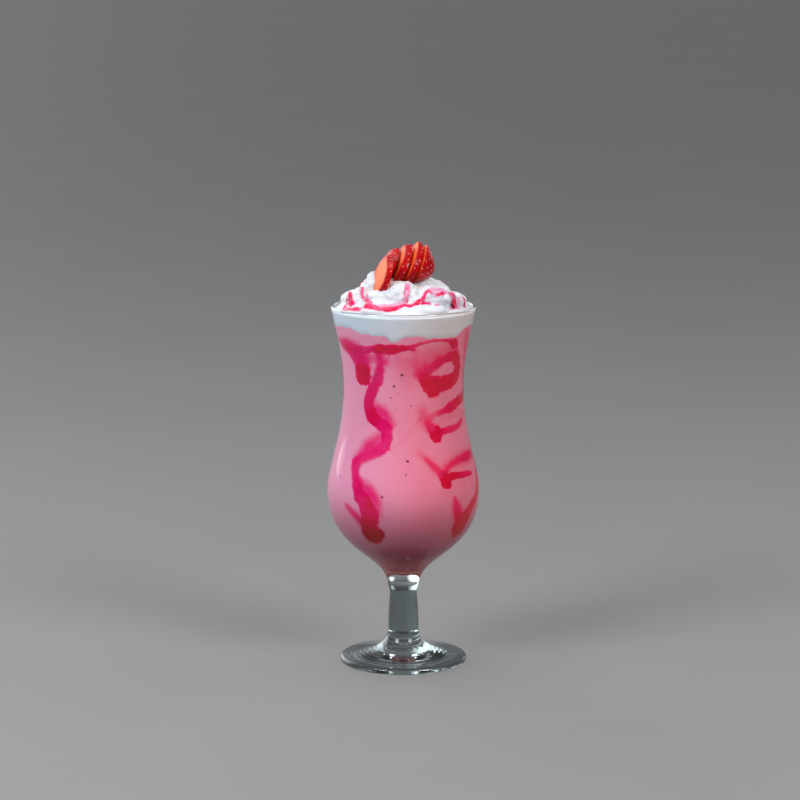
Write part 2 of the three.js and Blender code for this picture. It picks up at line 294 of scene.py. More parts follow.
def footLine():
    line = [(0, 1.6)] + curveThrough([(0, 1.6), (21.6, 1.6), (27, 0)], 10)
    line += [(29.4, 0), (31.8, 0)]
    line += curveThrough([(31.8, 0), (33.4, 0), (33.4, 1.5)], 5)
    line += curveThrough([(33.4, 1.5), (33.4, 3), (31.8, 3.3)], 5)
    line += curveThrough([(31.8, 3.3), (25, 4.6), (20, 5.6), (16, 7)], 9)
    line += curveThrough([(16, 7), (8.96, 9.1), (8, 17)], 14)
    line += curveThrough([(8, 17), (8.32, 24), (7.2, 35)], 10)
    return line + curveThrough([(7.2, 35), (7.2, 38.5), (8.2, 40.5)], 5)


def glassFinish():
    finish, tree, shader = newFinish("clearGlass", **{
        "Transmission Weight": 1.0, "IOR": 1.41})
    place = objectPlace(tree)
    height = addNode(tree, "SeparateXYZ", {"Vector": place}).node.outputs["Z"]
    # the stem and the foot are thick, so less light comes through them; they are also tinted much darker than
    # thick glass absorbs, as painted shade for the dark surroundings that clear glass shows there
    thick = rangeNode(tree, height, 46 * mm, 38 * mm)
    foot = rangeNode(tree, height, 20 * mm, 8 * mm)
    solid = mixPaint(tree, foot, (0.26, 0.31, 0.32, 1), (0.4, 0.46, 0.47, 1))
    tree.links.new(mixPaint(tree, thick, (0.965, 0.985, 0.985, 1), solid), shader.inputs["Base Color"])
    smudge = rangeNode(tree, noiseNode(tree, place, 55, 3), 0.5, 0.75, 0.0, 0.035)
    tree.links.new(smudge, shader.inputs["Roughness"])
    # the faint waves of pressed glass, and fine rings round the foot
    flat = addNode(tree, "VectorMath", {0: place, 1: (1, 1, 0)}, operation="MULTIPLY")
    out = addNode(tree, "VectorMath", {0: flat}, "Value", operation="LENGTH")
    rings = mathNode(tree, "SINE", mathNode(tree, "MULTIPLY", out, 2600))
    rings = mathNode(tree, "MULTIPLY", rings, rangeNode(tree, height, 16 * mm, 9 * mm, 0, 0.2))
    bumpNode(tree, shader, mathNode(tree, "ADD", noiseNode(tree, place, 38, 1), rings), 0.12, 0.6)
    # lamps and scattered light reach what stands in the glass
    rays = tree.nodes.new("ShaderNodeLightPath")
    through = addNode(tree, "BsdfTransparent", {"Color": (0.93, 0.94, 0.94, 1)})
    passes = mathNode(tree, "MAXIMUM", rays.outputs["Is Shadow Ray"], rays.outputs["Is Diffuse Ray"])
    both = addNode(tree, "MixShader", {0: passes, 1: shader.outputs["BSDF"], 2: through})
    tree.links.new(both, tree.nodes["Material Output"].inputs["Surface"])
    return finish


glassOutline = footLine() + outsideLine(28)[1:]
lipRound = [glassOutline[-1]] + glassSizes["lipRound"] + [insideLine(28)[-1]]
glassOutline += curveThrough(lipRound, 14) + insideLine(28)[::-1][1:]
glass = spinUp("glassGoblet", glassOutline, glassSizes["steps"])
finishPiece(glass, glassFinish(), "glass", "glass")
print("glass spun")


# sauce runs on the inside of the wall: angle from the front in degrees, height, half width, strength

sauceRuns = {
    "sauce_left": [
        [(-23, 160, 2.4, 0.66), (-26, 155, 3.1, 0.8), (-31, 149.5, 3.3, 0.82), (-35.5, 145, 3.2, 0.84),
         (-36, 141, 3.2, 0.88), (-33, 137, 3.2, 0.92), (-27, 133.5, 3.2, 0.88), (-18, 130.5, 3.2, 0.74),
         (-15.5, 127, 3.1, 0.68), (-17, 122, 3.2, 0.68), (-23, 117.5, 3.1, 0.66), (-31, 115, 2.8, 0.58),
         (-40, 113, 3.2, 0.62), (-43.5, 108.5, 3.4, 0.7), (-41.5, 103.5, 3.2, 0.74), (-37.5, 98, 3.6, 0.84),
         (-31.5, 92, 4.4, 0.92), (-27.5, 86, 4.8, 0.97), (-28, 80, 5.4, 1), (-27, 75.5, 6.2, 1)],
        [(-80, 173, 1.4, 0.7), (-72, 171.5, 1.9, 0.72), (-63, 169.5, 2.3, 0.74), (-55, 166, 2.6, 0.72),
         (-47, 162.5, 3, 0.78)],
        [(-43.5, 163.5, 3.8, 0.7), (-43.5, 160, 4.8, 1), (-43, 155.6, 4.9, 1)],
        [(-56, 167.5, 2, 0.4), (-46, 169.5, 2.2, 0.4), (-31, 171, 2.2, 0.8), (-20, 171, 2.6, 0.97),
         (-12, 171.2, 2.8, 1), (-4, 171.8, 2.3, 1),
         (3, 172.2, 1.4, 0.9), (9, 171.2, 0.9, 0.8)],
        [(-23, 169, 1.6, 0.4), (-22, 164, 1.6, 0.36), (-23, 159, 1.8, 0.5)],
        [(-49, 88.5, 1.5, 0.28), (-43, 85.5, 2, 0.34), (-36, 81.5, 2.2, 0.5)]],
    "sauce_loop": [
        [(25, 159.5, 2.4, 0.4), (31, 162.3, 2.4, 0.58), (40, 164.6, 2.7, 0.76), (52, 166, 3, 0.92),
         (60, 163.5, 3.4, 1),
         (63, 159, 3.5, 1)],
        [(63, 159, 3.5, 1), (60, 154.8, 3.6, 1), (51, 152.8, 4, 1), (40, 152, 4.6, 1),
         (29.5, 152.3, 5.2, 1),
         (22.5, 154.6, 3.8, 0.95), (18.5, 156.2, 2, 0.8)],
        [(29.5, 151.5, 5, 1), (31, 149.2, 4.2, 1)],
        [(4, 173.2, 0.7, 0.6), (10, 173.3, 0.8, 0.6), (17, 174.5, 0.8, 0.55), (31, 175.5, 0.8, 0.6),
         (44, 174.5, 1, 0.8),
         (52.5, 172.6, 2.6, 1), (57, 170, 1.2, 0.5), (61, 167, 1.4, 0.5)]],
    "sauce_hook": [
        [(86, 172, 2, 0.85), (87, 160, 2.4, 0.85), (86, 149, 2.4, 0.9), (80, 143.5, 2.8, 0.95),
         (66, 141, 2.9, 0.98),
         (50, 138.7, 2.5, 0.88), (39, 137.4, 1.9, 0.66), (30, 136, 1.6, 0.4)],
        [(30, 136, 1.6, 0.3), (25, 132.5, 2.2, 0.3), (28.5, 129, 2.8, 0.45), (31.5, 127.4, 3.6, 1),
         (32, 125.4, 3.7, 1)],
        [(72, 130.5, 1.4, 0.6), (61, 128.4, 1.8, 0.72), (50, 127.8, 1.8, 0.72), (36, 127, 2, 0.9)]],
    "sauce_drop": [
        [(20, 114, 1.2, 0.26), (27, 109.5, 1.7, 0.34), (33, 105.5, 2.5, 0.62), (35.5, 103.6, 3.3, 1),
         (36, 101.8, 3.4, 1)],
        [(80, 112.3, 2, 0.66), (66, 112.2, 2.1, 0.6), (54, 111.6, 1.9, 0.5), (44, 110, 1.6, 0.4),
         (34, 106.5, 1.6, 0.36)],
        [(68, 103.2, 1.3, 0.86), (56, 103.8, 1.6, 0.92), (46, 104.2, 1.9, 0.97), (37, 103.6, 2.4, 1)]],
    "sauce_right": [
        [(94, 126, 1.6, 0.85), (93, 114, 2, 0.92), (84, 103, 2.3, 0.97), (80, 97, 2.5, 1), (74, 91, 2.8, 1),
         (66, 86.5, 3.4, 1), (59, 81.5, 4.8, 1), (55, 77, 5.8, 1)],
        [(43, 93, 1.2, 0.34), (45.5, 88, 2.2, 0.5), (50, 82.5, 3.4, 0.74)]],
    "sauce_left_edge": [
        [(-84, 161, 1.4, 0.7), (-88, 151, 2.2, 0.8), (-86, 142, 1.8, 0.7)]],
    "sauce_back_left": [
        [(-122, 172, 2.4, 0.9), (-125, 160, 3, 0.9), (-115, 148, 3, 0.85), (-122, 134, 2.8, 0.95),
         (-136, 122, 3, 0.8), (-130, 106, 3.2, 0.7), (-122, 94, 3.6, 0.95), (-125, 76, 3.4, 1)],
        [(-175, 168, 1.4, 0.7), (-158, 170.5, 2.2, 0.85), (-122, 170, 2.4, 0.9)]],
    "sauce_back_middle": [
        [(150, 171, 2.2, 0.8), (166, 163, 2.8, 0.9), (172, 152, 2.8, 0.95), (160, 142, 3, 0.8),
         (146, 133, 2.8, 0.7),
         (151, 121, 3, 0.85), (163, 111, 3, 0.9), (160, 100, 3.4, 0.95), (151, 80, 3.4, 1)]],
    "sauce_back_right": [
        [(112, 168, 2, 0.8), (118, 158, 2.8, 0.95), (108, 146, 2.8, 0.9), (116, 134, 2.6, 0.95),
         (126, 124, 2, 1)]],
}

# thin washes of sauce that has run into the shake, as stations of the same kind
sauceWashes = [
    [(-72, 172.5, 4, 0.6), (-60, 171.5, 5.5, 0.8), (-48, 169, 6.5, 0.85), (-39, 166, 6.5, 0.8),
     (-36, 161, 4, 0.6)],
    [(-23, 170, 5, 0.7), (-22, 165, 5.5, 0.7), (-23, 160, 4.5, 0.6)],
    [(-30, 143, 3.5, 0.4), (-25, 139.5, 5, 0.65), (-17, 136, 5, 0.65), (-11, 132, 4, 0.5)],
    [(-18, 128, 3.5, 0.45), (-26, 123, 5.5, 0.65), (-36, 118.5, 5.5, 0.65), (-44, 114, 4.5, 0.5)],
    [(-37, 103, 3.5, 0.45), (-29, 98.5, 5.5, 0.65), (-22, 93, 5.5, 0.65), (-19.5, 86, 4, 0.5)],
    [(11, 172, 5, 0.35), (15, 165, 6, 0.4), (24, 168, 8, 0.45), (36, 168, 8, 0.45), (48, 170, 7, 0.5)],
    [(16, 158, 4.5, 0.7), (25, 160, 5.5, 0.7), (33, 163, 5, 0.6)],
    [(-6, 168, 7, 0.35), (2, 163, 9, 0.4), (6, 154, 8, 0.25)],
    [(70, 179, 4.5, 0.5), (77, 171, 6, 0.75), (79, 163, 5, 0.65), (82, 150, 4, 0.5)],
    [(88, 140, 4, 0.45), (86, 124, 4.5, 0.4), (88, 112, 4.5, 0.5)],
    [(19, 138, 5, 0.45), (22, 133, 5.5, 0.55), (28, 129, 5.5, 0.55)],
    [(40, 134, 4, 0.25), (62, 135, 4.5, 0.3), (78, 134, 4, 0.4)],
    [(14, 117, 3.5, 0.4), (21, 113.5, 4, 0.45), (28, 109, 5, 0.5), (36, 106, 5, 0.5)],
    [(40, 110, 4.5, 0.45), (50, 111, 5.5, 0.55), (66, 112, 5.5, 0.65), (80, 112, 5, 0.65)],
    [(43, 93, 3, 0.4), (45.5, 88, 5, 0.65), (50, 83, 6, 0.7)],
    [(-50, 89, 3, 0.4), (-43, 85, 4.5, 0.55), (-35, 81, 5, 0.6)],
    [(16, 135, 0.8, 0.3), (3, 126, 0.8, 0.32), (-12, 118.5, 0.8, 0.3)],
    [(-86, 150, 4, 0.3), (-84, 138, 4, 0.2)],
    [(-118, 128, 5, 0.4), (-128, 116, 6, 0.5), (-124, 100, 5, 0.4)],
    [(160, 147, 5, 0.4), (150, 128, 6, 0.5), (158, 106, 5, 0.4)],
    [(112, 152, 5, 0.4), (112, 140, 5, 0.45)],
    [(-160, 162, 6, 0.35), (-170, 147, 6, 0.25)],
]

sauceEdges = {
    "gap": 0.7, "crisp": (0.88, 1.12), "crispSoftest": 0.4, "soft": (0.0, 1.3),
    "waver": 0.24, "waverScales": (0.2, 0.62), "reach": 1.6, "uneven": 0.08,
}


def unrolled(stations, gap):
    # a run's stations with its angle turned into the length of wall there, and back again
    knots = np.array(stations, float)
    scale = np.radians(1) * wallRadius(knots[:, 1])
    flat = knots.copy()
    flat[:, 0] *= scale.mean()
    path = smoothPath(flat, gap)
    path[:, 0] /= scale.mean()
    return path


def turnFrom(angle, start):
    return (angle - start + 180) % 360 - 180


def tintAt(angle, height, waver, blur):
    # how much sauce shows at each place of the wall, 0 to 1
    tint = np.zeros(len(height))
    crispRuns = [(run, sauceEdges["crisp"]) for runs in sauceRuns.values() for run in runs]
    for run, edge in crispRuns + [(run, sauceEdges["soft"]) for run in sauceWashes]:
        path = unrolled(run, sauceEdges["gap"])
        reach = path[:, 2].max() * sauceEdges["reach"]
        middle = (path[:, 0].min() + path[:, 0].max()) / 2
        halfTurn = (path[:, 0].max() - path[:, 0].min()) / 2 + np.degrees(reach / 28)
        near = (np.abs(turnFrom(angle, middle)) < halfTurn) & (np.abs(height - path[:, 1].mean()) < 90)
        near &= (height > path[:, 1].min() - reach) & (height < path[:, 1].max() + reach)
        near = np.flatnonzero(near)
        if not len(near):
            continue
        across = np.radians(turnFrom(angle[near, None], path[None, :, 0])) * wallRadius(path[:, 1])
        off = np.hypot(across, height[near, None] - path[None, :, 1]) / path[None, :, 2]
        nearest = off.argmin(axis=1)
        off = off[np.arange(len(near)), nearest] * (1 + sauceEdges["waver"] * waver[near])
        if edge is sauceEdges["crisp"]:
            # strong stretches end sharply, thin ones run out softly
            thin = blur[near] * (1 - smoothStep(0.75, 0.97, path[nearest, 3]))
            inner = edge[0] + (sauceEdges["crispSoftest"] - edge[0]) * thin
            here = path[nearest, 3] * (1 - smoothStep(inner, edge[1] + 0.25 * thin, off))
            tint[near] = np.maximum(tint[near], here)
        else:
            here = path[nearest, 3] * (1 - smoothStep(edge[0], edge[1], off))
            tint[near] += here * (1 - tint[near])
    return np.clip(tint, 0, 1)


def wallTint(piece):
    places = cornersOf(piece)
    angle = np.degrees(np.arctan2(places[:, 0], -places[:, 1]))
    broad, fine = [noiseAt(places, scale) for scale in sauceEdges["waverScales"]]
    blur = smoothStep(-0.15, 0.45, noiseAt(places, 0.09, 3))
    uneven = 1 - sauceEdges["uneven"] * smoothStep(-0.2, 0.5, noiseAt(places, 0.16, 8))
    storeValues(piece, "tint", uneven * tintAt(angle, places[:, 2], broad + 0.7 * fine, blur))


# shake: fills the glass and lies just into the wall, with an uneven top edge

shakeSizes = {
    "steps": 320, "rows": 76, "into": 0.06, "topRows": 8, "back": 182, "middle": 183.5, "stretchFrom": 150,
    "border": [   # angle from the front and height of the line between shake and cream
        (-180, 182), (-120, 182.4), (-85, 180.2), (-66, 180.6), (-53, 181), (-46, 180), (-39, 178.8),
        (-29, 178.1),
        (-17, 178), (-13, 176.6), (-10, 175.6), (-5, 175.5), (-1, 176.8), (3, 177.9), (15, 177.8),
        (30, 176.6),
        (46, 176.2), (55, 177.2), (61, 179.2), (68, 180.4), (90, 181), (130, 182), (180, 182)],
    "ragged": ((11, 0.22, 0.6), (23, 0.2, 1.9), (41, 0.14, 0.3)),
}


def borderHeight(angle):
    line = np.interp(np.degrees(angle), *np.transpose(shakeSizes["border"]))
    return line + sum(height * np.sin(times * angle + start) for times, height, start in shakeSizes["ragged"])


def fruitPaint(tree, place):
    # pink shake that darkens to strawberry sauce by the tint kept on the mesh
    tint = addNode(tree, "Attribute", {}, "Fac", attribute_name="tint")
    parts = addNode(tree, "SeparateXYZ", {"Vector": place}).node.outputs
    left = rangeNode(tree, parts["X"], 24 * mm, -36 * mm)
    low = rangeNode(tree, parts["Z"], 102 * mm, 50 * mm)
    fromBelow = rangeNode(tree, parts["Z"], 49.4 * mm, 50 * mm)
    fromAbove = rangeNode(tree, parts["Z"], 51 * mm, 50.4 * mm, 0, 0.7)
    ring = mathNode(tree, "MULTIPLY", fromBelow, fromAbove)
    cloud = noiseNode(tree, place, 45, 3)
    # the shake is lighter and more lilac towards the left: partly its own tone, partly painted light and
    # painted reflection from the left
    pink = mixPaint(tree, left, paint(232, 118, 142), paint(238, 156, 190))
    pink = mixPaint(tree, rangeNode(tree, cloud, 0.42, 0.72, 0, 0.25), pink, paint(238, 150, 178))
    # painted shade: the pink darkens towards the bottom of the bowl, where it faces down away from the lamps;
    # below 63 mm it turns lighter again, painted light that eases that shade at the very bottom
    pink = mixPaint(tree, low, pink, paint(136, 54, 70))
    pink = mixPaint(tree, rangeNode(tree, parts["Z"], 63 * mm, 53 * mm), pink, paint(184, 98, 106))
    pink = mixPaint(tree, ring, pink, paint(232, 160, 130))     # light caught round the bottom of the well
    syrup = rampPaint(tree, tint, [
        (0.0, paint(230, 104, 140)), (0.35, paint(230, 80, 130)), (0.62, paint(232, 40, 116)),
        (0.82, paint(228, 2, 104)), (0.96, paint(212, 0, 60))])
    # the sauce is bluer towards the left and warmer to the right: partly its own tone, partly painted light
    # from the left
    syrup = mixPaint(tree, rangeNode(tree, left, 0.6, 0.0, 0, 1), syrup, (1, 1, 0.6, 1), "MULTIPLY")
    # painted shade: the sauce darkens towards its lower ends below the bulb, where the bowl faces down, more
    # so on the left
    ends = rangeNode(tree, parts["Z"], 88 * mm, 72 * mm)
    dark = mixPaint(tree, left, (0.7, 0.3, 0.12, 1), (0.36, 0.3, 0.12, 1))
    syrup = mixPaint(tree, ends, syrup, dark, "MULTIPLY")
    return mixPaint(tree, rangeNode(tree, tint, 0.0, 0.66), pink, syrup), tint


def shakeFinish():
    finish, tree, shader = newFinish("strawberryShake", **{"Specular IOR Level": 0.04})
    place = objectPlace(tree)
    colour, tint = fruitPaint(tree, place)
    bubbles = addNode(tree, "TexVoronoi", {"Vector": place, "Scale": 900.0}, "Distance")
    pale = rangeNode(tree, bubbles, 0.0, 0.22, 0.22, 0.0)     # fine froth against the wall
    froth = mathNode(tree, "MULTIPLY", pale, rangeNode(tree, noiseNode(tree, place, 120), 0.45, 0.65))
    tree.links.new(mixPaint(tree, froth, colour, paint(240, 190, 208)), shader.inputs["Base Color"])
    tree.links.new(rangeNode(tree, tint, 0, 1, 0.5, 0.3), shader.inputs["Roughness"])
    bumpNode(tree, shader, bubbles, 0.1, 0.2)
    return finish


def makeShake():
    side = insideLine(shakeSizes["rows"], shakeSizes["into"])
    back = shakeSizes["back"]
    side = [point for point in side if point[1] < back] + [(wallRadius(back), back)]
    edge = side[-1]
    topRows = shakeSizes["topRows"]
    top = [(edge[0] * (1 - k / topRows), edge[1] + 1e-3 * k) for k in range(1, topRows + 1)]
    shake = spinUp("milkshake", side + top, shakeSizes["steps"])
    places = cornersOf(shake)
    angle = np.arctan2(places[:, 0], -places[:, 1])
    radius = np.hypot(places[:, 0], places[:, 1])
    border = borderHeight(angle)
    start = shakeSizes["stretchFrom"]
    part = np.clip((places[:, 2] - start) / (shakeSizes["back"] - start), 0, None)
    height = np.where(part > 0, start + part * (border - start), places[:, 2])
    lid = places[:, 2] > shakeSizes["back"] - 1e-4
    inward = radius / edge[0]
    newRadius = np.where(part > 0, wallRadius(height) + shakeSizes["into"], radius)
    newRadius = np.where(lid, inward * (wallRadius(border) + shakeSizes["into"]), newRadius)
    height = np.where(lid, shakeSizes["middle"] + (border - shakeSizes["middle"]) * inward**2, height)
    grow = newRadius / np.maximum(radius, 1e-6)
    moveCorners(shake, np.column_stack([places[:, 0] * grow, places[:, 1] * grow, height]))
    wallTint(shake)
    return shake


shake = makeShake()
finishPiece(shake, shakeFinish(), "milkshake", "shake")
print("shake poured,", len(shake.data.polygons), "faces")


# sauce pieces: flat runs with round ends, pressed between shake and wall

runShape = {"gap": 0.8, "around": 12, "edge": -0.04, "bulge": 0.17, "depth": 1.1}


def runPiece(name, stations):
    path = unrolled(stations, runShape["gap"])
    first, last = path[0], path[-1]
    heads = []
    for end, inner in ((first, path[1]), (last, path[-2])):
        # each end goes on by its own half width, to close as a round drip
        toWall = np.radians(1) * wallRadius(end[1])
        step = np.array([(end[0] - inner[0]) * toWall, end[1] - inner[1]])
        step *= end[2] / np.linalg.norm(step)
        rounding = (0.3, 0.55, 0.76, 0.9, 0.975, 1)
        heads.append([end + [step[0] / toWall * k, step[1] * k, 0, 0] for k in rounding])
    path = np.array(heads[0][::-1] + list(path) + heads[1])
    toWall = np.radians(1) * wallRadius(path[:, 1])
    flat = np.column_stack([path[:, 0] * toWall.mean(), path[:, 1]])
    ahead = np.gradient(flat, axis=0)
    ahead /= np.linalg.norm(ahead, axis=1)[:, None]
    close = np.ones(len(path))
    close[:6] = [math.sqrt(1 - k * k) for k in (1, 0.975, 0.9, 0.76, 0.55, 0.3)]
    close[-6:] = close[:6][::-1]
    turn = np.linspace(0, 2 * math.pi, runShape["around"], endpoint=False)
    across = np.cos(turn) * (path[:, 2] * close)[:, None]
    steep = np.abs(np.sin(turn))
    depth = np.where(np.sin(turn) > 0, runShape["bulge"] * steep**0.5, -runShape["depth"] * steep)
    depth = runShape["edge"] + depth * close[:, None]**0.5
    angle = np.radians(path[:, :1]) - across * ahead[:, 1:] / wallRadius(path[:, 1:2])
    height = path[:, 1:2] + across * ahead[:, :1]
    radius = wallRadius(height) + depth
    return tubePiece(name, np.stack([radius * np.sin(angle), -radius * np.cos(angle), height], axis=2))


def sauceFinish():
    finish, tree, shader = newFinish("strawberrySauce", **{"Specular IOR Level": 0.06})
    place = objectPlace(tree)
    colour, tint = fruitPaint(tree, place)
    pulp = rangeNode(tree, noiseNode(tree, place, 260, 3), 0.5, 0.75, 0, 0.35)
    tree.links.new(mixPaint(tree, pulp, colour, paint(170, 6, 40)), shader.inputs["Base Color"])
    tree.links.new(rangeNode(tree, tint, 0, 1, 0.45, 0.25), shader.inputs["Roughness"])
    return finish


sauce = sauceFinish()
for node, runs in sauceRuns.items():
    parts = [runPiece("%s_%d" % (node, index), run) for index, run in enumerate(runs)]
    words = node.split("_")
    piece = joinPieces(words[0] + "".join(word.title() for word in words[1:]), parts)
    wallTint(piece)
    finishPiece(piece, sauce, "sauce", node)
print("sauce run down the wall")


# dark berry specks against the wall

speckSizes = {
    "places": [(-1.4, 157.8, 0.8), (-9.2, 151.9, 0.7), (3.4, 113.4, 0.8), (-16.6, 95.2, 0.65),
               (2, 106.6, 0.45),
               (-60, 102, 0.5), (55.4, 99.7, 0.5), (-12.3, 145.6, 0.4), (7.3, 141.5, 0.4)],
    "scattered": 90, "size": (0.14, 0.36), "heights": (66, 172), "seed": 5, "into": 0.07,
}


def makeSpecks():
    draw = random.Random(speckSizes["seed"])
    places = list(speckSizes["places"])
    for k in range(speckSizes["scattered"]):
        angle = draw.uniform(-180, 180)
        places.append((angle, draw.uniform(*speckSizes["heights"]), draw.uniform(*speckSizes["size"])))
    specks = []
    for angle, height, size in places:
        deselectAll()
        bpy.ops.mesh.primitive_ico_sphere_add(subdivisions=2, radius=size * mm)
        speck = bpy.context.object
        bpy.ops.object.mode_set(mode="EDIT")
        bpy.ops.mesh.select_all(action="SELECT")
        bpy.ops.transform.vertex_random(offset=size * 0.3 * mm, seed=draw.randrange(1000))
        bpy.ops.object.mode_set(mode="OBJECT")
        turn = math.radians(angle)
        out = wallRadius(height) + speckSizes["into"]
        place = Matrix.Translation(Vector((out * math.sin(turn), -out * math.cos(turn), height)) * mm)
        speck.data.transform(place @ Matrix.Rotation(turn, 4, "Z") @ Matrix.Diagonal((1, 0.25, 0.9, 1)))
        specks.append(speck)
    piece = joinPieces("berrySpecks", specks)
    bpy.ops.object.shade_smooth()
    return piece


def speckFinish():
    finish, tree, shader = newFinish("berrySpeck", **{"Roughness": 0.4})
    shade = noiseNode(tree, objectPlace(tree), 700, 1)
    tree.links.new(mixPaint(tree, shade, paint(140, 24, 62), paint(110, 30, 58)), shader.inputs["Base Color"])
    return finish


finishPiece(makeSpecks(), speckFinish(), "strawberry")
print("specks set")


# whipped cream: a plug against the wall, and a heap of dollops fused over it

creamSizes = {
    "plugInto": 0.4, "plugTop": 187.9, "plugSteps": 240,
    "moundBase": 188.4, "moundRadius": 34.7, "moundRise": 15.5, "moundUnder": 185,
    "voxel": 0.5, "smooth": 4,
    "dollops": [
        ((-2, -17, 196.5), (12, 10, 8.5)), ((-22, -6, 192.5), (8.5, 9, 7.5)), ((-13.5, 3, 200.5),
        (7, 8, 7.5)),
        ((15, -14, 195.5), (12, 11, 7)), ((24, -3, 192.5), (9, 11, 5)), ((-26, 5, 192), (7, 10, 5)),
        ((-10, 15, 196), (14, 12, 7.5)), ((11, 14, 195), (14, 12, 7)), ((-11, -25, 189.8), (11, 7, 3.6)),
        ((11, -25, 190), (11, 7, 4))],
    "lumps": 11, "lumpSize": (4, 6), "lumpSeed": 4,
    "foldSize": 0.008, "foldHeight": 1.7, "fineSize": 0.0032, "fineHeight": 0.7,
    "calmBelow": (187.6, 190.5), "calmOutside": (31, 34.2),
}


def moundHeight(radius):
    return creamSizes["moundBase"] + creamSizes["moundRise"] * (1 - (radius / creamSizes["moundRadius"])**2)


def creamDollop(at, half):
    deselectAll()
    bpy.ops.mesh.primitive_ico_sphere_add(subdivisions=4, radius=1)
    bpy.ops.object.mode_set(mode="EDIT")
    bpy.ops.mesh.select_all(action="SELECT")
    bpy.ops.transform.resize(value=Vector(half) * mm)
    bpy.ops.transform.translate(value=Vector(at) * mm)
    bpy.ops.object.mode_set(mode="OBJECT")
    return bpy.context.object


def makePlug():
    # what shows through the glass between the shake and the lip
    rows = 14
    low = shakeSizes["back"] - 8
    line = [(0, low), (20, low), (wallRadius(low), low)]
    line += [(30 + 0.1 * k, low + (creamSizes["plugTop"] - low) * k / rows) for k in range(1, rows + 1)]
    line += [(20, creamSizes["plugTop"] + 0.5), (0, creamSizes["plugTop"] + 1)]
    plug = spinUp("creamPlug", line, creamSizes["plugSteps"])
    places = cornersOf(plug)
    angle = np.arctan2(places[:, 0], -places[:, 1])
    radius = np.hypot(places[:, 0], places[:, 1])
    wave = 0.35 * np.sin(23 * angle) + 0.3 * np.sin(37 * angle + 1)
    bottom = borderHeight(angle) - 1.4
    part = np.clip((places[:, 2] - low) / (creamSizes["plugTop"] - low), 0, 1)
    stretched = bottom + part * (creamSizes["plugTop"] - bottom)
    height = np.where(places[:, 2] > creamSizes["plugTop"], places[:, 2], stretched)
    wall = radius > 25
    above = height - borderHeight(angle) + 0.5 * wave
    into = np.interp(above, [-1.4, 0, 1.2], [-0.3, shakeSizes["into"], creamSizes["plugInto"]])
    newRadius = np.where(wall, wallRadius(height) + into, radius)
    height = np.where(~wall & (part < 0.01), shakeSizes["middle"] + 0.6, height)
    grow = newRadius / np.maximum(radius, 1e-6)
    moveCorners(plug, np.column_stack([places[:, 0] * grow, places[:, 1] * grow, height]))
    return plug


def makeHeap():
    rim = creamSizes["moundRadius"]
    under = creamSizes["moundUnder"]
    line = [(0, under), (rim - 1.5, under), (rim, under + 1.5)]
    line += [(rim * (1 - k / 12), moundHeight(rim * (1 - k / 12))) for k in range(13)]
    parts = [spinUp("creamMound", line, 96)]
    parts += [creamDollop(at, half) for at, half in creamSizes["dollops"]]
    draw = random.Random(creamSizes["lumpSeed"])
    for k in range(creamSizes["lumps"]):
        turn = draw.uniform(0, 2 * math.pi)
        out = 30 * math.sqrt(draw.uniform(0.05, 1))
        size = draw.uniform(*creamSizes["lumpSize"])
        at = (out * math.sin(turn), -out * math.cos(turn), moundHeight(out) + draw.uniform(-2.5, -0.8))
        parts.append(creamDollop(at, (size * draw.uniform(1, 1.5), size, size * draw.uniform(0.6, 0.9))))
    heap = joinPieces("creamHeap", parts)
    applyModifier(heap, "REMESH", mode="VOXEL", voxel_size=creamSizes["voxel"] * mm)
    applyModifier(heap, "SMOOTH", factor=0.5, iterations=creamSizes["smooth"])
    places = cornersOf(heap)
    radius = np.hypot(places[:, 0], places[:, 1])
    nearRim = smoothStep(*creamSizes["calmOutside"], radius)
    calm = smoothStep(*creamSizes["calmBelow"], places[:, 2]) * (1 - nearRim)
    loose = heap.vertex_groups.new(name="loose")
    for index, weight in enumerate(calm):
        loose.add([index], float(weight), "REPLACE")
    for name, size, height, kind in (("fold", "foldSize", "foldHeight", "HARD_NOISE"),
                                     ("fine", "fineSize", "fineHeight", "HARD_NOISE")):
        texture = bpy.data.textures.new(name, "CLOUDS")
        texture.noise_scale = creamSizes[size]
        texture.noise_type = kind
        texture.noise_depth = 1
        applyModifier(heap, "DISPLACE", texture=texture, strength=creamSizes[height] * mm, mid_level=0.5,
                      texture_coords="LOCAL", vertex_group="loose")
    applyModifier(heap, "SMOOTH", factor=0.5, iterations=1)
    heap.vertex_groups.clear()
    return heap


# drizzle over the cream, seen from above: half width, then stations of x, y and strength

